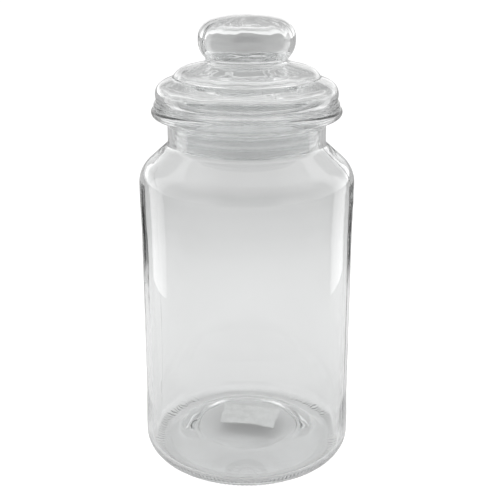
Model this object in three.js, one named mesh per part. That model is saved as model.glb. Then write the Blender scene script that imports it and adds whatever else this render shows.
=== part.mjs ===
// Glass apothecary jar with a hollow knobbed glass lid and a clear push-in seal.
// Millimetres, +Z up. The origin is the centre of the foot ring, on the surface the jar stands on.
// Four pieces: the blown jar, the blown lid with its plug, the flexible seal round the plug, and a
// torn paper label stuck under the base.

import * as THREE from 'three';

// ---- driving dimensions ----

const SEGMENTS = 40; // facets round the axis
const FIT_GAP = 0.3; // clearance between neighbouring pieces

// Jar body
const PANEL_RADIUS = 60.0; // straight part of the side
const BAND_SWELL = 0.4; // the shoulder and heel bands stand proud of the panel
const WALL = 3.0;
const HEEL_RADIUS = 10.0;
const HEEL_BAND_TOP = 22.0;
const PANEL_BOTTOM = 34.0;
const PANEL_TOP = 138.0;
const SHOULDER_BASE = 162.7; // the side turns into the shoulder here
const SHOULDER_ROUND = 16.0;
const SHOULDER_TILT = 48; // degrees, the shoulder cone's normal above the horizontal

// Base: a stepped push-up inside the foot ring
const FOOT_INNER_RADIUS = 44.5;
const PUSH_UP_RADIUS = 31.2;
const PUSH_UP_HEIGHT = 7.0;
const FLOOR_HEIGHT = 11.0; // top of the glass over the push-up
const FLOOR_VALLEY = 3.6; // lowest part of the inside floor
const INNER_HEEL_RADIUS = 7.0;
const INNER_HEEL_SWEEP = 114; // degrees, from level to the foot of the floor's slope
const PUSH_UP_FALL = 1.35; // power of the fall from the push-up to the foot ring

// Neck and lip
const NECK_RADIUS = 43.9;
const NECK_BORE_RADIUS = 41.3;
const NECK_FILLET = 4.0;
const LIP_RADIUS = 52.6;
const LIP_TOP = 205.5;
const LIP_BEAD = 2.65;
const LIP_UNDERCUT = 195.5; // the neck starts to flare into the lip
const LIP_FLARE_FILLET = 2.5;
const LIP_FLARE_TILT = 25; // degrees, slope of the lip's underside
const MOUTH_ROUND = 1.8;

// Lid
const LID_WALL = 3.2;
const PLUG_RADIUS = 38.0;
const PLUG_BOTTOM = 183.2;
const FLANGE_EDGE = 1.2; // half the flange's thickness
const FLANGE_CENTRE_RADIUS = 50.0;
const PLUG_FILLET = 2.5;

// The dome's two steps and the knob, each a round of the outer face: centre radius, centre height,
// round radius. The inside face shares the centres, so the wall is even.
const LOWER_STEP = { r: 43.4, z: 212.4, round: 7.05 };
const STEP_HOLLOW = { r: 42.34, z: 222.83, round: 2.2 };
const UPPER_STEP = { r: 32.3, z: 217.5, round: 9.2 };
const KNOB_WAIST = { r: 24.33, z: 230.85, round: 1.8 };
const KNOB_UNDER = { r: 13.6, z: 241.2, round: 13.0 };
const KNOB_OVER = { r: 16.3, z: 242.4, round: 10.3 };

// Normals, in degrees above the horizontal, where one round meets the next
const GROOVE_TILT = -30;
const LOWER_STEP_TILT = 68;
const UPPER_STEP_START = 28;
const UPPER_STEP_TILT = 75;
const KNOB_UNDER_TILT = -32;
const KNOB_CROWN_TILT = 75;
const FLANGE_TILT = 75;

// Seal: a sleeve with three flexible fins
const SEAL_WALL = 1.2;
const SEAL_BOTTOM = 183.8;
const SEAL_TOP = 203.8;
const FIN_HEIGHTS = [185.6, 190.6, 195.6];
const FIN_ROOT = 1.2; // half the fin's thickness where it leaves the sleeve
const FIN_TIP = 0.5;

// Label under the push-up: its corners, torn at two of them
const LABEL_THICKNESS = 0.25;
const LABEL_OUTLINE = [
  [-17.1, 3.2], [-12.2, 1.4], [-6.7, 1.2], [-1.2, -0.6], [3.3, -0.7], [8.8, -3.0], [16.0, -4.4],
  [17.2, -0.4], [19.2, 5.6], [21.8, 19.0], [11.8, 20.4], [3.8, 23.0], [-4.7, 24.2], [-15.6, 27.2],
  [-15.0, 19.6], [-16.4, 13.6],
];

// ---- materials ----

const glass = (color) => new THREE.MeshStandardMaterial({
  color, roughness: 0.04, metalness: 0, transparent: true, opacity: 0.35,
});
const jarGlass = glass(0xe6eae9);
const lidGlass = glass(0xe2e6e5);
const clearPlastic = new THREE.MeshStandardMaterial({
  color: 0xe9eaea, roughness: 0.3, metalness: 0, transparent: true, opacity: 0.55,
});
const labelPaper = new THREE.MeshStandardMaterial({ color: 0xeeeeec, roughness: 0.85, metalness: 0 });

// ---- outline helpers: x is the distance from the axis, y the height ----

const at = (r, z) => new THREE.Vector2(r, z);
const radians = THREE.MathUtils.degToRad;

function arc(round, fromDegrees, toDegrees, steps) {
  const points = [];
  for (let i = 0; i <= steps; i++) {
    const angle = radians(fromDegrees + ((toDegrees - fromDegrees) * i) / steps);
    points.push(at(round.r + round.round * Math.cos(angle), round.z + round.round * Math.sin(angle)));
  }
  return points;
}

const inset = (round, by) => ({ ...round, round: round.round + by });

// A solid of revolution about +Z
function turned(name, outline, material) {
  const mesh = new THREE.Mesh(new THREE.LatheGeometry(outline, SEGMENTS), material);
  mesh.name = name;
  mesh.rotation.x = Math.PI / 2;
  return mesh;
}

// ---- jar body ----

function jarBody() {
  const bandRadius = PANEL_RADIUS + BAND_SWELL;
  const innerRadius = PANEL_RADIUS - WALL;

  // The push-up falls away steeply and flattens out where it meets the foot ring
  const pushUp = [0, 0.1, 0.25, 0.45, 0.7, 1].map((t) => at(
    PUSH_UP_RADIUS + (FOOT_INNER_RADIUS - PUSH_UP_RADIUS) * t, PUSH_UP_HEIGHT * (1 - t) ** PUSH_UP_FALL,
  ));

  const heel = { r: bandRadius - HEEL_RADIUS, z: HEEL_RADIUS, round: HEEL_RADIUS };
  const shoulder = { r: bandRadius - SHOULDER_ROUND, z: SHOULDER_BASE, round: SHOULDER_ROUND };

  // The shoulder cone leaves its round at SHOULDER_TILT and meets the neck fillet at the same slope
  const tilt = radians(SHOULDER_TILT);
  const coneStart = arc(shoulder, 0, SHOULDER_TILT, 1)[1];
  const coneEndRadius = NECK_RADIUS + NECK_FILLET * (1 - Math.cos(tilt));
  const coneEndHeight = coneStart.y + (coneStart.x - coneEndRadius) / Math.tan(tilt);
  const filletHeight = coneEndHeight + NECK_FILLET * Math.sin(tilt);
  const neckFillet = { r: NECK_RADIUS + NECK_FILLET, z: filletHeight, round: NECK_FILLET };

  const flare = { r: NECK_RADIUS + LIP_FLARE_FILLET, z: LIP_UNDERCUT, round: LIP_FLARE_FILLET };
  const bead = { r: LIP_RADIUS - LIP_BEAD, z: LIP_TOP - LIP_BEAD, round: LIP_BEAD };
  const mouth = { r: NECK_BORE_RADIUS + MOUTH_ROUND, z: LIP_TOP - MOUTH_ROUND, round: MOUTH_ROUND };
  const neckWall = NECK_RADIUS - NECK_BORE_RADIUS;
  const innerHeel = {
    r: innerRadius - INNER_HEEL_RADIUS, z: FLOOR_VALLEY + INNER_HEEL_RADIUS, round: INNER_HEEL_RADIUS,
  };

  // The floor falls from its middle with the cube of the radius and runs on into the heel
  const valleyEnd = arc(innerHeel, -INNER_HEEL_SWEEP, -INNER_HEEL_SWEEP, 1)[0];
  const floor = [0.86, 0.72, 0.56, 0.38, 0].map((t) => at(
    valleyEnd.x * t, FLOOR_HEIGHT - (FLOOR_HEIGHT - valleyEnd.y) * t ** 3,
  ));

  const outline = [
    at(0, PUSH_UP_HEIGHT),
    ...pushUp,
    ...arc(heel, -90, 0, 5),
    at(bandRadius, HEEL_BAND_TOP),
    at(PANEL_RADIUS, PANEL_BOTTOM),
    at(PANEL_RADIUS, PANEL_TOP),
    ...arc(shoulder, 0, SHOULDER_TILT, 4),
    ...arc(neckFillet, 180 + SHOULDER_TILT, 180, 3),
    ...arc(flare, 180, 90 + LIP_FLARE_TILT, 2),
    ...arc(bead, LIP_FLARE_TILT - 90, 90, 5),
    ...arc(mouth, 90, 180, 2),
    ...arc(inset(neckFillet, neckWall), 180, 180 + SHOULDER_TILT, 2),
    ...arc(inset(shoulder, -WALL - BAND_SWELL), SHOULDER_TILT, 0, 3),
    ...arc(innerHeel, 0, -INNER_HEEL_SWEEP, 5),
    ...floor,
  ];
  return turned('jar_body', outline, jarGlass);
}

// ---- lid: one hollow piece, open at the bottom of its plug ----

function lid() {
  const flangeBottom = LIP_TOP + FIT_GAP;
  const flange = { r: FLANGE_CENTRE_RADIUS, z: flangeBottom + FLANGE_EDGE, round: FLANGE_EDGE };
  const crownAngle = radians(KNOB_CROWN_TILT);
  const crownEdge = KNOB_OVER.r + KNOB_OVER.round * Math.cos(crownAngle);
  const crownRound = crownEdge / Math.cos(crownAngle);
  const crownEdgeHeight = KNOB_OVER.z + KNOB_OVER.round * Math.sin(crownAngle);
  const crown = { r: 0, z: crownEdgeHeight - crownRound * Math.sin(crownAngle), round: crownRound };

  const rim = { r: PLUG_RADIUS - LID_WALL / 2, z: PLUG_BOTTOM + LID_WALL / 2, round: LID_WALL / 2 };
  const plugInner = PLUG_RADIUS - LID_WALL;
  const lowerInside = inset(LOWER_STEP, -LID_WALL);
  const ledge = lowerInside.z - lowerInside.round; // inside face over the flange
  const plugTurn = { r: plugInner + PLUG_FILLET, z: ledge - PLUG_FILLET, round: PLUG_FILLET };

  const inside = [
    at(0, crown.z + crown.round - LID_WALL),
    ...arc(inset(crown, -LID_WALL), 90, KNOB_CROWN_TILT, 2).slice(1),
    ...arc(inset(KNOB_OVER, -LID_WALL), KNOB_CROWN_TILT, 0, 3).slice(1),
    ...arc(inset(KNOB_UNDER, -LID_WALL), 0, KNOB_UNDER_TILT, 2),
    ...arc(inset(KNOB_WAIST, LID_WALL), 180 + KNOB_UNDER_TILT, 180 + UPPER_STEP_TILT, 3),
    ...arc(inset(UPPER_STEP, -LID_WALL), UPPER_STEP_TILT, UPPER_STEP_START, 2),
    ...arc(inset(STEP_HOLLOW, LID_WALL), 180 + UPPER_STEP_START, 180 + LOWER_STEP_TILT, 1),
    ...arc(lowerInside, LOWER_STEP_TILT, -90, 4),
    ...arc(plugTurn, 90, 180, 2),
  ];
  const outside = [
    ...arc(rim, -180, 0, 3),
    at(PLUG_RADIUS, flangeBottom),
    ...arc(flange, -90, FLANGE_TILT, 3),
    ...arc(LOWER_STEP, GROOVE_TILT, LOWER_STEP_TILT, 5),
    ...arc(STEP_HOLLOW, 180 + LOWER_STEP_TILT, 180 + UPPER_STEP_START, 1),
    ...arc(UPPER_STEP, UPPER_STEP_START, UPPER_STEP_TILT, 3),
    ...arc(KNOB_WAIST, 180 + UPPER_STEP_TILT, 180 + KNOB_UNDER_TILT, 2),
    ...arc(KNOB_UNDER, KNOB_UNDER_TILT, 0, 2),
    ...arc(KNOB_OVER, 0, KNOB_CROWN_TILT, 4),
    ...arc(crown, KNOB_CROWN_TILT, 90, 3).slice(1, -1),
    at(0, crown.z + crown.round),
  ];
  return turned('lid', [...inside, ...outside], lidGlass);
}

// ---- seal ring ----

function sealRing() {
  const bore = PLUG_RADIUS + FIT_GAP;
  const sleeve = bore + SEAL_WALL;
  const finTip = NECK_BORE_RADIUS - FIT_GAP;
  const fins = FIN_HEIGHTS.flatMap((z) => [
    at(sleeve, z - FIN_ROOT), at(finTip, z), at(finTip, z + FIN_TIP), at(sleeve, z + FIN_ROOT),
  ]);
  const outline = [
    at(bore, SEAL_BOTTOM),
    at(sleeve, SEAL_BOTTOM),
    ...fins,
    at(sleeve, SEAL_TOP),
    at(bore, SEAL_TOP),
    at(bore, SEAL_BOTTOM),
  ];
  return turned('seal_ring', outline, clearPlastic);
}

// ---- label ----

function label() {
  const shape = new THREE.Shape(LABEL_OUTLINE.map(([x, y]) => at(x, y)));
  const geometry = new THREE.ExtrudeGeometry(shape, { depth: LABEL_THICKNESS, bevelEnabled: false });
  const mesh = new THREE.Mesh(geometry, labelPaper);
  mesh.name = 'label';
  mesh.position.z = PUSH_UP_HEIGHT - FIT_GAP - LABEL_THICKNESS;
  return mesh;
}

// ---- assembly ----

const jar = new THREE.Group();
jar.add(jarBody(), lid(), sealRing(), label());

export default jar;
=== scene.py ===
"""Apothecary jar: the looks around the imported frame. Blender 4.5, metres, +Z up."""

import math

import bpy
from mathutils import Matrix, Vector, noise
from mathutils.geometry import delaunay_2d_cdt


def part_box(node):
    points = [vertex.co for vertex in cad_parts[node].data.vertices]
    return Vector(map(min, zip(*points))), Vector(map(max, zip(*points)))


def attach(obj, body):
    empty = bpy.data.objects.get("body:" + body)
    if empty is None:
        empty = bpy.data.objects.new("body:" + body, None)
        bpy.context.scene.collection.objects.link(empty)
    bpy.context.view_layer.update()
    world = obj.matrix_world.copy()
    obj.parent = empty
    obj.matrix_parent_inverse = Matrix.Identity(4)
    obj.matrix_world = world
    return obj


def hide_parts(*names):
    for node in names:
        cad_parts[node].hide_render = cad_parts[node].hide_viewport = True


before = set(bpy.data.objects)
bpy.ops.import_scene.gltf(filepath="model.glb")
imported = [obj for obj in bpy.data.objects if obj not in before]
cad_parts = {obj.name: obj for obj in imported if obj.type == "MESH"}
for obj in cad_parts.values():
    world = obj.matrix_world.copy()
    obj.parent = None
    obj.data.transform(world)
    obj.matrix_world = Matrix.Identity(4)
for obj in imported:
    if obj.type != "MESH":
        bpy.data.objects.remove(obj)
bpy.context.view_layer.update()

MM = 0.001

# ---------------------------------------------------------------- camera

CAMERA_BACK = 0.511  # from the jar's axis
CAMERA_HEIGHT = 0.305
CAMERA_PITCH = 16.78  # degrees below the horizon
FOCAL_PER_WIDTH = 1.88
SHIFT = (0.0064, -0.10)
CLIP = (0.02, 60.0)


def make_camera():
    data = bpy.data.cameras.new("camera")
    data.sensor_width = 36.0
    data.lens = FOCAL_PER_WIDTH * data.sensor_width
    data.shift_x, data.shift_y = SHIFT
    data.clip_start, data.clip_end = CLIP
    camera = bpy.data.objects.new("camera", data)
    camera.location = (0.0, -CAMERA_BACK, CAMERA_HEIGHT)
    camera.rotation_euler = (math.radians(90.0 - CAMERA_PITCH), 0.0, 0.0)
    bpy.context.scene.collection.objects.link(camera)
    bpy.context.scene.camera = camera


# ---------------------------------------------------------------- outlines, in mm: (radius, height)

LONG_GAP = 4.0
FILL_STEP = 3.0
SAME_POINT = 0.02
ON_AXIS = 1e-6
SEAM_WIDTH = 0.3
SEAM_COLUMN_STEP = math.radians(0.22)


def arc(centre, radius, start, end, steps):
    """Points on a round, from one normal to another in degrees above the horizontal."""
    points = []
    for i in range(steps + 1):
        angle = math.radians(start + (end - start) * i / steps)
        points.append((centre[0] + radius * math.cos(angle), centre[1] + radius * math.sin(angle)))
    return points


def line(start, end, steps):
    """Points between two points, without the ends."""
    return [
        (start[0] + (end[0] - start[0]) * i / steps, start[1] + (end[1] - start[1]) * i / steps)
        for i in range(1, steps)
    ]


def ease(start, end, steps):
    """An S-shaped run between two heights, level at both ends."""
    points = []
    for i in range(steps + 1):
        t = i / steps
        drop = (1.0 - math.cos(math.pi * t)) / 2.0
        points.append((start[0] + (end[0] - start[0]) * t, start[1] + (end[1] - start[1]) * drop))
    return points


def joined(*runs):
    """The runs as one outline, with long straight gaps between them filled in."""
    points = []
    for run in runs:
        for p in run:
            if points and math.dist(points[-1], p) > LONG_GAP:
                points += line(points[-1], p, math.ceil(math.dist(points[-1], p) / FILL_STEP))
            if not points or math.dist(points[-1], p) > SAME_POINT:
                points.append(p)
    return points


def swirl(angle, height, turns, tall, seed):
    """Smooth noise from -1 to 1 that closes round the axis. tall is its size up the glass in mm."""
    place = Vector((math.cos(angle) * turns, math.sin(angle) * turns, height / tall + seed))
    return noise.noise(place)


def between(value, low, high):
    """0 below low, 1 above high, smooth in the middle."""
    t = min(1.0, max(0.0, (value - low) / (high - low)))
    return t * t * (3.0 - 2.0 * t)


def apart(a, b):
    """The angle between two directions round the axis."""
    return abs((a - b + math.pi) % (2.0 * math.pi) - math.pi)


def seam(angle, radius, places):
    """1 on a mould seam and 0 away from it."""
    near = min(apart(angle, place) for place in places)
    return math.exp(-((near * radius / SEAM_WIDTH) ** 2))


def columns(count, seams):
    """Angles round the axis, with extra ones at the mould seams."""
    angles = [2.0 * math.pi * i / count for i in range(count)]
    for place in seams:
        extra = [(place + SEAM_COLUMN_STEP * i) % (2.0 * math.pi) for i in range(-4, 5)]
        clear = [a for a in angles if min(apart(a, e) for e in extra) > SEAM_COLUMN_STEP / 2]
        angles = clear + extra
    return sorted(angles)


def normals(outline, closed):
    """The outward direction at each outline point, with the glass on the left of the walk."""
    found = []
    last = len(outline) - 1
    for i in range(len(outline)):
        before = outline[i - 1] if i > 0 or closed else outline[i]
        after = outline[(i + 1) % len(outline)] if i < last or closed else outline[i]
        dr, dz = after[0] - before[0], after[1] - before[1]
        size = math.hypot(dr, dz)
        on_axis = outline[i][0] < ON_AXIS
        found.append((0.0, math.copysign(1.0, -dr)) if on_axis else (dz / size, -dr / size))
    return found


def new_piece(name, points, faces):
    data = bpy.data.meshes.new(name)
    data.from_pydata(points, [], faces)
    data.polygons.foreach_set("use_smooth", [True] * len(data.polygons))
    data.update()
    piece = bpy.data.objects.new(name, data)
    bpy.context.scene.collection.objects.link(piece)
    return piece


def turned(name, outline, angles, relief=None, closed=False):
    """A solid of revolution. relief(i, r, z, angle) stands a point proud of its outline, in mm."""
    points, rings, faces = [], [], []
    for i, ((r, z), (out_r, out_z)) in enumerate(zip(outline, normals(outline, closed))):
        ring = []
        for angle in angles[:1] if r < ON_AXIS else angles:
            proud = relief(i, r, z, angle) if relief else 0.0
            radius = (r + proud * out_r) * MM
            ring.append(len(points))
            points.append((radius * math.cos(angle), radius * math.sin(angle), (z + proud * out_z) * MM))
        rings.append(ring)
    pairs = list(zip(rings, rings[1:])) + ([(rings[-1], rings[0])] if closed else [])
    count = len(angles)
    for low, high in pairs:
        for i in range(count):
            j = (i + 1) % count
            if len(low) == 1:
                faces.append((low[0], high[j], high[i]))
            elif len(high) == 1:
                faces.append((low[i], low[j], high[0]))
            else:
                faces.append((low[i], low[j], high[j], high[i]))
    return new_piece(name, points, faces)


# ---------------------------------------------------------------- jar

PANEL_RADIUS = 60.0
PANEL_BOTTOM, PANEL_TOP = 34.0, 138.0
BAND_RADIUS = 60.4  # the heel and shoulder bands stand a little proud of the panel
HEEL_BAND_TOP, SHOULDER_BAND_BOTTOM = 20.0, 152.0
WALL = 3.0
SHOULDER_BASE = 162.7
SHOULDER_ROUND, SHOULDER_INSIDE = 16.0, 12.6
SHOULDER_TILT = 48.0  # degrees
NECK_RADIUS = 43.9
NECK_BORE = 41.3
NECK_FILLET = 4.0
LIP_RADIUS = 52.6
LIP_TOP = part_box("jar_body")[1][2] / MM
LIP_BEAD = 2.65
LIP_UNDERCUT, LIP_FILLET = 195.5, 2.5
MOUTH_ROUND = 1.8
HEEL_ROUND, HEEL_INSIDE = 10.0, 7.0
HEEL_SWEEP = 114  # degrees, from level to the foot of the floor's slope
FOOT_INNER = 44.5
FOOT_FLAT = [(47.0, 0.0), (49.4, 0.0)]
PUSH_UP = (30.0, 7.0)
PUSH_UP_FALL = 1.35  # power of the fall from the push-up to the foot ring
RING_MARK = 0.55  # the step of the ring pressed round the push-up
FLOOR_HEIGHT = 11.0
FLOOR_VALLEY = 3.6


def jar_outline():
    tilt = math.radians(SHOULDER_TILT)
    shoulder = (BAND_RADIUS - SHOULDER_ROUND, SHOULDER_BASE)
    cone_start = arc(shoulder, SHOULDER_ROUND, SHOULDER_TILT, SHOULDER_TILT, 1)[0]
    cone_end_r = NECK_RADIUS + NECK_FILLET * (1.0 - math.cos(tilt))
    cone_end_z = cone_start[1] + (cone_start[0] - cone_end_r) / math.tan(tilt)
    neck = (NECK_RADIUS + NECK_FILLET, cone_end_z + NECK_FILLET * math.sin(tilt))
    heel = (BAND_RADIUS - HEEL_ROUND, HEEL_ROUND)

    # The push-up falls away steeply and flattens out where it meets the foot ring
    fall_start, fall_height = PUSH_UP[0] + 1.2, PUSH_UP[1] - RING_MARK
    fall = [
        (fall_start + (FOOT_INNER - fall_start) * t, fall_height * (1.0 - t) ** PUSH_UP_FALL)
        for t in [i / 14 for i in range(15)]
    ]
    outside = joined(
        [(0.0, PUSH_UP[1])],
        [(PUSH_UP[0] - 1.6, PUSH_UP[1])],
        ease((PUSH_UP[0] - 0.5, PUSH_UP[1]), (PUSH_UP[0] + 0.5, fall_height), 4),
        fall,
        FOOT_FLAT,
        arc(heel, HEEL_ROUND, -90, -60, 9),
        arc(heel, HEEL_ROUND, -56, 0, 11),
        ease((BAND_RADIUS, HEEL_BAND_TOP), (PANEL_RADIUS, PANEL_BOTTOM), 3),
        ease((PANEL_RADIUS, PANEL_TOP), (BAND_RADIUS, SHOULDER_BAND_BOTTOM), 3),
        arc(shoulder, SHOULDER_ROUND, 0, SHOULDER_TILT, 10),
        arc(neck, NECK_FILLET, 180 + SHOULDER_TILT, 180, 7),
        arc((NECK_RADIUS + LIP_FILLET, LIP_UNDERCUT), LIP_FILLET, 180, 115, 4),
        arc((LIP_RADIUS - LIP_BEAD, LIP_TOP - LIP_BEAD), LIP_BEAD, -65, 90, 12),
    )

    # The floor falls from its middle with the cube of the radius and runs on into the heel
    heel_inside = (PANEL_RADIUS - WALL - HEEL_INSIDE, FLOOR_VALLEY + HEEL_INSIDE)
    valley_end = arc(heel_inside, HEEL_INSIDE, -HEEL_SWEEP, -HEEL_SWEEP, 1)[0]
    floor = [
        (valley_end[0] * t, FLOOR_HEIGHT - (FLOOR_HEIGHT - valley_end[1]) * t**3)
        for t in [1.0 - i / 16 for i in range(1, 17)]
    ]
    inside = joined(
        arc((NECK_BORE + MOUTH_ROUND, LIP_TOP - MOUTH_ROUND), MOUTH_ROUND, 90, 180, 5),
        arc(neck, NECK_FILLET + NECK_RADIUS - NECK_BORE, 180, 180 + SHOULDER_TILT, 7),
        arc(shoulder, SHOULDER_INSIDE, SHOULDER_TILT, 0, 9),
        arc(heel_inside, HEEL_INSIDE, 0, -HEEL_SWEEP, 14),
        floor,
    )
    return outside, inside


JAR_COLUMNS = 720
KNURL_BARS = 144
KNURL_DEPTH = 0.3
JAR_SEAMS = (math.radians(-20), math.radians(160))
JAR_SEAM_HEIGHT = 0.1
OUTER_WAVE = 0.16
POOL_DEPTH, POOL_SIZE = 0.1, 15.0


def make_jar():
    outside, inside = jar_outline()

    def relief(i, r, z, angle):
        on_wall = between(z, 12.0, 34.0) * (1.0 - between(z, 158.0, 182.0))
        if i < len(outside):
            foot = between(r, 50.5, 51.5) * (1.0 - between(r, 56.0, 57.6)) * (z < 4.0)
            bar = between(0.5 - 0.5 * math.cos(KNURL_BARS * angle), 0.25, 0.75)
            wave = 0.5 + 0.5 * swirl(angle, z, 2.2, 45.0, 20.0)
            line_up = JAR_SEAM_HEIGHT * seam(angle, r, JAR_SEAMS)
            line_up *= between(z, 6.0, 14.0) * (1.0 - between(z, 180.0, 192.0))
            return line_up - KNURL_DEPTH * foot * bar - OUTER_WAVE * wave * on_wall
        floor = 1.0 - between(z, 10.5, 14.0)
        body = 0.42 * swirl(angle, z, 1.5, 75.0, 0.0) + 0.05 * swirl(angle, z, 11.0, 110.0, 7.0)
        x, y = r * math.cos(angle) / POOL_SIZE, r * math.sin(angle) / POOL_SIZE
        return body * on_wall + POOL_DEPTH * noise.noise(Vector((x, y, 3.0))) * floor

    return turned("jar_glass_body", outside + inside, columns(JAR_COLUMNS, JAR_SEAMS), relief)


# ---------------------------------------------------------------- lid

LID_WALL = 3.2
PLUG_RADIUS = 38.0
PLUG_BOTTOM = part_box("lid")[0][2] / MM
KNOB_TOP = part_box("lid")[1][2] / MM
LOWER_STEP, LOWER_ROUND = (43.4, 212.4), 7.05
HOLLOW, HOLLOW_ROUND = (42.34, 222.83), 2.2
UPPER_STEP, UPPER_ROUND = (32.3, 217.5), 9.2
WAIST, WAIST_ROUND = (24.33, 230.85), 1.8
KNOB_UNDER, UNDER_ROUND = (13.6, 241.2), 13.0
KNOB_OVER, OVER_ROUND = (16.3, 242.4), 10.3
CROWN_TILT = 75  # degrees
FLANGE_CENTRE, FLANGE_EDGE = 50.0, 1.2
LEDGE_ROUND = 2.5
FIT_GAP = 0.3


def lid_outline():
    flange_bottom = LIP_TOP + FIT_GAP
    crown_cosine = math.cos(math.radians(CROWN_TILT))
    crown_round = (KNOB_OVER[0] + OVER_ROUND * crown_cosine) / crown_cosine
    crown = (0.0, KNOB_TOP - crown_round)
    ledge = LOWER_STEP[1] - (LOWER_ROUND - LID_WALL)
    plug_inner = PLUG_RADIUS - LID_WALL
    inside = joined(
        [(0.0, KNOB_TOP - LID_WALL)],
        arc(crown, crown_round - LID_WALL, 89, CROWN_TILT, 6),
        arc(KNOB_OVER, OVER_ROUND - LID_WALL, CROWN_TILT, 0, 8),
        arc(KNOB_UNDER, UNDER_ROUND - LID_WALL, 0, -32, 6),
        arc(WAIST, WAIST_ROUND + LID_WALL, 148, 255, 9),
        arc(UPPER_STEP, UPPER_ROUND - LID_WALL, 75, 28, 6),
        arc(HOLLOW, HOLLOW_ROUND + LID_WALL, 208, 248, 5),
        arc(LOWER_STEP, LOWER_ROUND - LID_WALL, 68, -90, 12),
        arc((plug_inner + LEDGE_ROUND, ledge - LEDGE_ROUND), LEDGE_ROUND, 90, 180, 6),
    )
    outside = joined(
        arc((PLUG_RADIUS - LID_WALL / 2, PLUG_BOTTOM + LID_WALL / 2), LID_WALL / 2, -180, 0, 10),
        [(PLUG_RADIUS, flange_bottom - 0.5), (PLUG_RADIUS + 0.15, flange_bottom - 0.15)],
        [(PLUG_RADIUS + 0.5, flange_bottom)],
        arc((FLANGE_CENTRE, flange_bottom + FLANGE_EDGE), FLANGE_EDGE, -90, 75, 9),
        arc(LOWER_STEP, LOWER_ROUND, -30, 68, 14),
        arc(HOLLOW, HOLLOW_ROUND, 248, 208, 5),
        arc(UPPER_STEP, UPPER_ROUND, 28, 75, 8),
        arc(WAIST, WAIST_ROUND, 255, 148, 8),
        arc(KNOB_UNDER, UNDER_ROUND, -32, 0, 7),
        arc(KNOB_OVER, OVER_ROUND, 0, CROWN_TILT, 10),
        arc(crown, crown_round, 77, 89, 6),
        [(0.0, KNOB_TOP)],
    )
    return inside, outside


LID_COLUMNS = 300
LID_SEAMS = (math.radians(-72), math.radians(108))
LID_SEAM_HEIGHT = 0.12
LID_WAVE = 0.18


def make_lid():
    inside, outside = lid_outline()

    def relief(i, r, z, angle):
        off_crown = between(r, 5.0, 22.0)
        if i < len(inside):
            wobble = 0.5 * swirl(angle, z, 1.7, 16.0, 4.0) + 0.18 * swirl(angle, z, 4.5, 9.0, 9.0)
            return wobble * between(z, 196.0, 208.0) * off_crown
        above_neck = between(z, LIP_TOP + 1.0, LIP_TOP + 5.0)
        wave = 0.5 + 0.5 * swirl(angle, z, 2.4, 14.0, 12.0)
        line_up = LID_SEAM_HEIGHT * seam(angle, r, LID_SEAMS) * above_neck
        return line_up * (1.0 - between(z, 236.0, 243.0)) - LID_WAVE * wave * above_neck * off_crown

    return turned("lid_glass_body", inside + outside, columns(LID_COLUMNS, LID_SEAMS), relief)


# ---------------------------------------------------------------- seal

SEAL_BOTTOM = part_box("seal_ring")[0][2] / MM
SEAL_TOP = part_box("seal_ring")[1][2] / MM
SEAL_BORE = PLUG_RADIUS + FIT_GAP
SEAL_SLEEVE = SEAL_BORE + 1.2
FIN_TIP = NECK_BORE - FIT_GAP
FIN_HEIGHTS = (1.8, 6.8, 11.8)
SEAL_COLUMNS = 240


def seal_outline():
    points = [(SEAL_BORE, SEAL_BOTTOM + 0.2), (SEAL_BORE + 0.2, SEAL_BOTTOM)]
    points += [(SEAL_SLEEVE - 0.3, SEAL_BOTTOM)]
    for z in (SEAL_BOTTOM + height for height in FIN_HEIGHTS):
        points += [
            (SEAL_SLEEVE, z - 1.2), (SEAL_SLEEVE + 0.5, z - 0.55), (FIN_TIP - 0.2, z - 0.05),
            (FIN_TIP, z + 0.2), (FIN_TIP - 0.15, z + 0.45),
            (SEAL_SLEEVE + 0.5, z + 0.6), (SEAL_SLEEVE, z + 1.1),
        ]
    points += [(SEAL_SLEEVE, SEAL_TOP - 0.3), (SEAL_SLEEVE - 0.3, SEAL_TOP)]
    return points + [(SEAL_BORE + 0.2, SEAL_TOP), (SEAL_BORE, SEAL_TOP - 0.2)]


def make_seal():
    def relief(i, r, z, angle):
        outer = between(r, SEAL_SLEEVE - 0.2, SEAL_SLEEVE + 0.3)
        return 0.04 * swirl(angle, z, 5.0, 12.0, 2.0) * outer - 0.12 * (r > SEAL_SLEEVE)

    return turned("seal_sleeve", seal_outline(), columns(SEAL_COLUMNS, ()), relief, closed=True)


# ---------------------------------------------------------------- label

LABEL_CORNERS = [
    (-17.1, 3.2), (-12.2, 1.4), (-6.7, 1.2), (-1.2, -0.6), (3.3, -0.7), (8.8, -3.0),
    (16.0, -4.4), (17.2, -0.4), (19.2, 5.6), (21.8, 19.0), (11.8, 20.4), (3.8, 23.0),
    (-4.7, 24.2), (-15.6, 27.2), (-15.0, 19.6), (-16.4, 13.6),
]
LABEL_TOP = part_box("label")[1][2] / MM
LABEL_THICKNESS = 0.12
LABEL_MIDDLE = (1.8, 10.6)
TEAR_STEP = 0.6  # between points along the torn edge
EDGE_CLEAR = 0.5  # from the edge to the nearest point inside it
GRAIN = 1.1  # between points inside the sheet


def rough(p, waves, seed):
    """Noise across the flat sheet, from -1 to 1."""
    return noise.noise(Vector((p.x * waves, p.y * waves, seed)))


def torn_edge():
    """The label's outline with a torn, fibrous edge, kept just inside its corners."""
    middle = Vector(LABEL_MIDDLE)
    edge = []
    for start, end in zip(LABEL_CORNERS, LABEL_CORNERS[1:] + LABEL_CORNERS[:1]):
        steps = max(2, round(math.dist(start, end) / TEAR_STEP))
        for i in range(steps):
            p = Vector(start).lerp(Vector(end), i / steps)
            tear = 0.28 + 0.3 * rough(p, 0.9, 5.0) + 0.16 * rough(p, 3.0, 1.0)
            edge.append(p + (middle - p).normalized() * tear)
    return edge


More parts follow.
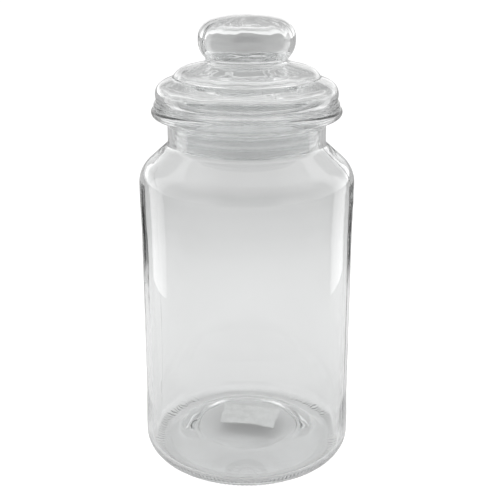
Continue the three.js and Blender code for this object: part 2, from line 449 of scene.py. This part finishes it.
def label_height(p):
    """How the paper hangs below its highest level: curled corners and soft creases."""
    across = Vector((p.x - LABEL_MIDDLE[0], p.y - LABEL_MIDDLE[1]))
    curl = 0.55 * (across.length / 21.0) ** 4 + 0.5 * between(-p.x - 0.4 * p.y, -8.0, 16.0) ** 2
    crease = 0.1 + 0.1 * rough(p, 0.22, 8.0) + 0.05 * rough(p, 0.8, 2.0)
    return LABEL_TOP - 0.02 - min(1.6, curl) - max(0.0, crease)


def make_label():
    edge = torn_edge()
    inner = []
    spots = [(x * GRAIN, y * GRAIN) for x in range(-20, 24) for y in range(-8, 28)]
    for x, y in spots:
        p = Vector((x + 0.3 * (round(y / GRAIN) % 2), y))
        inside = False
        for a, b in zip(edge, edge[1:] + edge[:1]):
            if (a.y > p.y) != (b.y > p.y) and p.x < a.x + (b.x - a.x) * (p.y - a.y) / (b.y - a.y):
                inside = not inside
        if inside and min((p - e).length for e in edge) > EDGE_CLEAR:
            inner.append(p)
    loop = list(range(len(edge)))
    flat, _, triangles, *_ = delaunay_2d_cdt(edge + inner, [], [loop], 1, 1e-5)
    count = len(flat)
    points = [(p.x * MM, p.y * MM, label_height(p) * MM) for p in flat]
    points += [(x, y, z - LABEL_THICKNESS * MM) for x, y, z in points]
    faces, sides = [], {}
    for face in triangles:
        a, b, c = face
        turn = (flat[b] - flat[a]).cross(flat[c] - flat[a])
        a, b, c = (a, b, c) if turn > 0.0 else (a, c, b)
        faces += [(a, b, c), (a + count, c + count, b + count)]
        for side in ((a, b), (b, c), (c, a)):
            if side[::-1] in sides:
                del sides[side[::-1]]
            else:
                sides[side] = True
    faces += [(b, a, a + count, b + count) for a, b in sides]
    return new_piece("label_sheet", points, faces)


# ---------------------------------------------------------------- materials


def new_material(name):
    material = bpy.data.materials.new(name)
    material.use_nodes = True
    nodes = material.node_tree.nodes
    nodes.clear()
    return material, nodes, material.node_tree.links


def noise_node(nodes, links, stretch, detail=2.0, seed=0.0):
    """Smooth noise on the object's own coordinates. stretch is how many waves fit in a metre."""
    coords = nodes.new("ShaderNodeTexCoord")
    mapping = nodes.new("ShaderNodeMapping")
    mapping.inputs["Scale"].default_value = stretch
    mapping.inputs["Location"].default_value = (seed, seed * 0.7, seed * 1.3)
    links.new(coords.outputs["Object"], mapping.inputs["Vector"])
    texture = nodes.new("ShaderNodeTexNoise")
    texture.inputs["Scale"].default_value = 1.0
    texture.inputs["Detail"].default_value = detail
    links.new(mapping.outputs["Vector"], texture.inputs["Vector"])
    return texture.outputs["Fac"]


def ranged(nodes, links, value, source, target):
    """value taken from one range to another."""
    change = nodes.new("ShaderNodeMapRange")
    change.inputs["From Min"].default_value, change.inputs["From Max"].default_value = source
    change.inputs["To Min"].default_value, change.inputs["To Max"].default_value = target
    links.new(value, change.inputs["Value"])
    return change.outputs["Result"]


def smooth(nodes, links, value, source, target):
    """As ranged, with soft ends."""
    result = ranged(nodes, links, value, source, target)
    result.node.interpolation_type = "SMOOTHSTEP"
    return result


def combined(nodes, links, operation, *values):
    """One or two values through a Math node."""
    change = nodes.new("ShaderNodeMath")
    change.operation = operation
    for value, socket in zip(values, change.inputs):
        links.new(value, socket)
    return change.outputs[0]


def two_tone(nodes, links, value, low, high):
    """A colour between two by value."""
    mix = nodes.new("ShaderNodeMix")
    mix.data_type = "RGBA"
    links.new(value, mix.inputs["Factor"])
    mix.inputs["A"].default_value = (*low, 1.0)
    mix.inputs["B"].default_value = (*high, 1.0)
    return mix.outputs["Result"]


def bump_node(nodes, links, layers):
    """Fine relief from one or more (height, distance in metres) layers."""
    normal = None
    for height, distance in layers:
        bump = nodes.new("ShaderNodeBump")
        bump.inputs["Distance"].default_value = distance
        links.new(height, bump.inputs["Height"])
        if normal:
            links.new(normal, bump.inputs["Normal"])
        normal = bump.outputs["Normal"]
    return normal


def glass_material(name, tints, streak, streak_depth, streak_from):
    """Clear pressed glass: faint tint clouds, handling smudges, and fine flow lines above streak_from."""
    material, nodes, links = new_material(name)
    out = nodes.new("ShaderNodeOutputMaterial")
    shader = nodes.new("ShaderNodeBsdfPrincipled")
    shader.inputs["Transmission Weight"].default_value = 1.0
    shader.inputs["IOR"].default_value = 1.5
    cloud = noise_node(nodes, links, (22.0, 22.0, 22.0), 2.0, 3.0)
    tint = two_tone(nodes, links, ranged(nodes, links, cloud, (0.35, 0.65), (0.0, 1.0)), *tints)
    links.new(tint, shader.inputs["Base Color"])
    smudge = noise_node(nodes, links, (55.0, 55.0, 38.0), 4.0, 11.0)
    links.new(ranged(nodes, links, smudge, (0.52, 0.75), (0.0, 0.07)), shader.inputs["Roughness"])
    flow = noise_node(nodes, links, streak, 2.0, 5.0)
    height = nodes.new("ShaderNodeSeparateXYZ")
    links.new(nodes.new("ShaderNodeTexCoord").outputs["Object"], height.inputs["Vector"])
    marked = smooth(nodes, links, height.outputs["Z"], (streak_from, streak_from + 0.006), (0.0, 1.0))
    flow = combined(nodes, links, "MULTIPLY", flow, marked)
    ripple = noise_node(nodes, links, (140.0, 140.0, 120.0), 1.0, 9.0)
    links.new(bump_node(nodes, links, [(flow, streak_depth), (ripple, 0.00003)]), shader.inputs["Normal"])
    links.new(shader.outputs["BSDF"], out.inputs["Surface"])
    absorb = nodes.new("ShaderNodeVolumeAbsorption")
    absorb.inputs["Color"].default_value = (0.5, 0.53, 0.525, 1.0)
    absorb.inputs["Density"].default_value = 3.0
    links.new(absorb.outputs["Volume"], out.inputs["Volume"])
    return material


def plastic_material(name):
    """Clear flexible plastic, a little milky, with a moulded skin."""
    material, nodes, links = new_material(name)
    out = nodes.new("ShaderNodeOutputMaterial")
    shader = nodes.new("ShaderNodeBsdfPrincipled")
    shader.inputs["Transmission Weight"].default_value = 0.85
    shader.inputs["IOR"].default_value = 1.42
    cloud = noise_node(nodes, links, (60.0, 60.0, 30.0), 3.0, 2.0)
    tint = two_tone(nodes, links, cloud, (0.88, 0.885, 0.885), (0.95, 0.955, 0.955))
    links.new(tint, shader.inputs["Base Color"])
    links.new(ranged(nodes, links, cloud, (0.3, 0.7), (0.05, 0.12)), shader.inputs["Roughness"])
    skin = noise_node(nodes, links, (900.0, 900.0, 500.0), 2.0, 1.0)
    links.new(bump_node(nodes, links, [(skin, 0.00002)]), shader.inputs["Normal"])
    links.new(shader.outputs["BSDF"], out.inputs["Surface"])
    return material


def paper_material(name):
    """Plain uncoated label paper: fibres, a little mottling and a handled look."""
    material, nodes, links = new_material(name)
    out = nodes.new("ShaderNodeOutputMaterial")
    shader = nodes.new("ShaderNodeBsdfPrincipled")
    fibre = noise_node(nodes, links, (1400.0, 420.0, 700.0), 5.0, 4.0)
    mottle = noise_node(nodes, links, (170.0, 210.0, 100.0), 3.0, 8.0)
    both = combined(
        nodes, links, "MULTIPLY",
        ranged(nodes, links, fibre, (0.3, 0.6), (0.55, 1.0)),
        ranged(nodes, links, mottle, (0.3, 0.55), (0.45, 1.0)),
    )
    tone = two_tone(nodes, links, both, (0.46, 0.46, 0.455), (0.68, 0.68, 0.675))
    links.new(tone, shader.inputs["Base Color"])
    links.new(ranged(nodes, links, mottle, (0.3, 0.7), (0.7, 0.92)), shader.inputs["Roughness"])
    links.new(bump_node(nodes, links, [(fibre, 0.00008), (mottle, 0.0002)]), shader.inputs["Normal"])
    links.new(shader.outputs["BSDF"], out.inputs["Surface"])
    return material


# ---------------------------------------------------------------- stage


TABLE_HALF = 14.0
TABLE_TONE = (0.45, 0.45, 0.45, 1.0)
TABLE_CLEARANCE = 0.0002  # the foot's face and the table mustn't share a plane: that draws a false dark ring
TABLE_LIGHT_POOL = 0.12  # painted pool of light: the table glows of itself near the jar, brightening what is seen under and behind the jar
TABLE_LIGHT_POOL_REACH = (0.2, 0.62)  # the painted pool of light fades between these distances from the jar's axis
BACKDROP_LIFT = 0.6  # lifts the table to white, for what the camera sees directly
ROOM_BACK = 0.5
ROOM_FRONT = 0.08
BACKDROP = 0.6
OVERHEAD = 1.0
SIDES = 0.7


def stage_sheet(name, corners):
    """A flat four-cornered piece of the stage, with its bare material."""
    data = bpy.data.meshes.new(name)
    data.from_pydata(corners, [], [(0, 1, 2, 3)])
    sheet = bpy.data.objects.new(name, data)
    bpy.context.scene.collection.objects.link(sheet)
    return sheet


def mixed(nodes, links, factor, first, second):
    """One shader where factor is 0 and the other where it is 1."""
    mix = nodes.new("ShaderNodeMixShader")
    links.new(factor, mix.inputs["Fac"])
    links.new(first.outputs[0], mix.inputs[1])
    links.new(second.outputs[0], mix.inputs[2])
    return mix.outputs[0]


def make_floor():
    """A pale table with a painted pool of light glowing near the jar, lifted to white for camera rays."""
    h = TABLE_HALF
    floor = stage_sheet("floor", [(-h, -h, 0), (h, -h, 0), (h, h, 0), (-h, h, 0)])
    floor.location.z = -TABLE_CLEARANCE
    material, nodes, links = new_material("floor_paper")
    out = nodes.new("ShaderNodeOutputMaterial")
    paper = nodes.new("ShaderNodeBsdfDiffuse")
    paper.inputs["Color"].default_value = TABLE_TONE
    white = nodes.new("ShaderNodeEmission")
    path = nodes.new("ShaderNodeLightPath")
    length = nodes.new("ShaderNodeVectorMath")
    length.operation = "LENGTH"
    links.new(nodes.new("ShaderNodeTexCoord").outputs["Object"], length.inputs[0])
    # painted pool of light: the table's own glow round the jar, with no lamp beneath it
    glow = smooth(nodes, links, length.outputs["Value"], TABLE_LIGHT_POOL_REACH, (TABLE_LIGHT_POOL, 0.0))
    lift = nodes.new("ShaderNodeMath")
    lift.operation = "MULTIPLY_ADD"
    lift.inputs[1].default_value = BACKDROP_LIFT
    links.new(path.outputs["Is Camera Ray"], lift.inputs[0])
    links.new(glow, lift.inputs[2])
    links.new(lift.outputs[0], white.inputs["Strength"])
    both = nodes.new("ShaderNodeAddShader")
    links.new(paper.outputs[0], both.inputs[0])
    links.new(white.outputs[0], both.inputs[1])
    links.new(both.outputs[0], out.inputs["Surface"])
    floor.data.materials.append(material)


def make_world():
    """A smooth room: dark in front, white low down behind, bright overhead and at the sides."""
    world = bpy.data.worlds.new("studio")
    bpy.context.scene.world = world
    world.use_nodes = True
    nodes, links = world.node_tree.nodes, world.node_tree.links
    background = nodes["Background"]
    coords = nodes.new("ShaderNodeTexCoord")
    split = nodes.new("ShaderNodeSeparateXYZ")
    links.new(coords.outputs["Generated"], split.inputs["Vector"])
    sideways = combined(nodes, links, "ABSOLUTE", split.outputs["X"])
    low = smooth(nodes, links, split.outputs["Z"], (0.03, 0.32), (BACKDROP, 0.0))
    behind = smooth(nodes, links, split.outputs["Y"], (0.1, 0.7), (0.0, 1.0))
    sweep = combined(nodes, links, "MULTIPLY", low, behind)
    room = smooth(nodes, links, split.outputs["Y"], (-0.5, 0.15), (ROOM_FRONT, ROOM_BACK))
    overhead = smooth(nodes, links, split.outputs["Z"], (0.45, 0.95), (0.0, OVERHEAD))
    sides = smooth(nodes, links, sideways, (0.3, 0.8), (0.0, SIDES))
    glow = room
    for more in (overhead, sides, sweep):
        glow = combined(nodes, links, "ADD", glow, more)
    path = nodes.new("ShaderNodeLightPath")
    tone = nodes.new("ShaderNodeMapRange")
    tone.inputs["To Max"].default_value = 1.0
    links.new(glow, tone.inputs["To Min"])
    links.new(path.outputs["Is Camera Ray"], tone.inputs["Value"])
    links.new(tone.outputs["Result"], background.inputs["Strength"])
    background.inputs["Color"].default_value = (1.0, 1.0, 1.0, 1.0)


def soft_box(name, place, target, size, glow):
    """An overhead soft box that lights the table and isn't mirrored in the glass."""
    data = bpy.data.lights.new(name, "AREA")
    data.shape = "RECTANGLE"
    data.size, data.size_y = size
    data.energy = glow * math.pi * size[0] * size[1]
    lamp = bpy.data.objects.new(name, data)
    lamp.location = place
    lamp.rotation_euler = (Vector(target) - Vector(place)).to_track_quat("-Z", "Y").to_euler()
    lamp.visible_camera = lamp.visible_glossy = lamp.visible_transmission = False
    bpy.context.scene.collection.objects.link(lamp)


PANEL_FEATHER = ((0.3, 0.9), (0.6, 1.0), (0.85, 0.9))  # (place across the width, strength), 0 at both ends
PANEL_HEIGHT, PANEL_GLOW = 0.5, 2.6
CARD_HEIGHT, CARD_FADE = 0.11, 0.03
CARD_SHADE_TONES = (0.7, 0.03)  # painted shade for the glass's dark edge lines: at the table and above the fade
ONE_WALL = 2.5  # a ray that grazes one wall has crossed glass twice, one through the jar four times
LIGHT_BOUNCES = 40


def strip_panel(name, start, end):
    """An upright diffuser panel from start to end on the table, feathered towards both sides."""
    long = math.dist(start, end)
    panel = stage_sheet(name, [(0, 0, 0), (long, 0, 0), (long, 0, PANEL_HEIGHT), (0, 0, PANEL_HEIGHT)])
    panel.location = (*start, 0.0)
    panel.rotation_euler = (0.0, 0.0, math.atan2(end[1] - start[1], end[0] - start[0]))
    material, nodes, links = new_material(name)
    out = nodes.new("ShaderNodeOutputMaterial")
    face = nodes.new("ShaderNodeEmission")
    face.inputs["Strength"].default_value = PANEL_GLOW
    split = nodes.new("ShaderNodeSeparateXYZ")
    links.new(nodes.new("ShaderNodeTexCoord").outputs["Generated"], split.inputs["Vector"])
    fade = nodes.new("ShaderNodeFloatCurve")
    curve = fade.mapping.curves[0]
    curve.points[0].location, curve.points[1].location = (0.0, 0.0), (1.0, 0.0)
    for x, y in PANEL_FEATHER:
        curve.points.new(x, y)
    fade.mapping.update()
    links.new(split.outputs["X"], fade.inputs["Value"])
    clear = nodes.new("ShaderNodeBsdfTransparent")
    links.new(mixed(nodes, links, fade.outputs["Value"], clear, face), out.inputs["Surface"])
    panel.data.materials.append(material)
    panel.visible_camera = panel.visible_shadow = panel.visible_transmission = False


def dark_card(name, start, end):
    """A low dark card standing in for shade at the jar's sides: painted shade that only the glass's edges
    pick up, as their dark lines; a ray through the whole jar passes it by.
    """
    corners = [(*start, 0.0), (*end, 0.0), (*end, CARD_HEIGHT), (*start, CARD_HEIGHT)]
    card = stage_sheet(name, corners)
    material, nodes, links = new_material(name)
    out = nodes.new("ShaderNodeOutputMaterial")
    # painted shade: dark above the fade, paler at the table so the edge lines fade out towards the foot
    edge_shade = nodes.new("ShaderNodeBsdfDiffuse")
    split = nodes.new("ShaderNodeSeparateXYZ")
    links.new(nodes.new("ShaderNodeNewGeometry").outputs["Position"], split.inputs["Vector"])
    links.new(smooth(nodes, links, split.outputs["Z"], (0.0, CARD_FADE), CARD_SHADE_TONES), edge_shade.inputs["Color"])
    path = nodes.new("ShaderNodeLightPath")
    through = combined(nodes, links, "GREATER_THAN", path.outputs["Transmission Depth"])
    through.node.inputs[1].default_value = ONE_WALL
    clear = nodes.new("ShaderNodeBsdfTransparent")
    links.new(mixed(nodes, links, through, edge_shade, clear), out.inputs["Surface"])
    card.data.materials.append(material)
    card.visible_camera = card.visible_diffuse = card.visible_shadow = False


def make_studio():
    make_floor()
    make_world()
    soft_box("overhead", (0.0, -0.1, 0.8), (0, 0, 0.0), (0.6, 0.6), 2.4)
    strip_panel("panel_left", (-0.30, -0.015), (-0.30, 0.135))
    strip_panel("panel_right", (0.30, 0.015), (0.30, 0.165))
    dark_card("card_left", (-0.1537, 0.2318), (-0.2139, 0.197))
    dark_card("card_right", (0.1537, 0.2318), (0.2139, 0.197))
    scene = bpy.context.scene
    scene.view_settings.view_transform = "Standard"
    cycles = scene.cycles
    cycles.blur_glossy = 0.0  # keeps the light that reaches the table through the glass
    cycles.max_bounces = cycles.transmission_bounces = cycles.glossy_bounces = LIGHT_BOUNCES
    cycles.diffuse_bounces = 4


# ---------------------------------------------------------------- assembly


def finish_piece(piece, material, node, body):
    piece.data.materials.append(material)
    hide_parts(node)
    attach(piece, body)


JAR_TINTS = ((0.98, 0.985, 0.985), (0.99, 0.995, 0.995))
LID_TINTS = ((0.91, 0.915, 0.915), (0.94, 0.945, 0.945))
UPRIGHT, LEVEL = (170.0, 170.0, 16.0), (20.0, 20.0, 420.0)  # which way the flow lines run


def main():
    make_camera()
    make_studio()
    jar_glass = glass_material("jar_glass", JAR_TINTS, UPRIGHT, 0.00002, 0.014)
    lid_glass = glass_material("lid_glass", LID_TINTS, LEVEL, 0.00003, LIP_TOP * MM)
    finish_piece(make_jar(), jar_glass, "jar_body", "jar")
    finish_piece(make_lid(), lid_glass, "lid", "lid")
    finish_piece(make_seal(), plastic_material("seal_plastic"), "seal_ring", "seal")
    finish_piece(make_label(), paper_material("label_paper"), "label", "jar")


main()
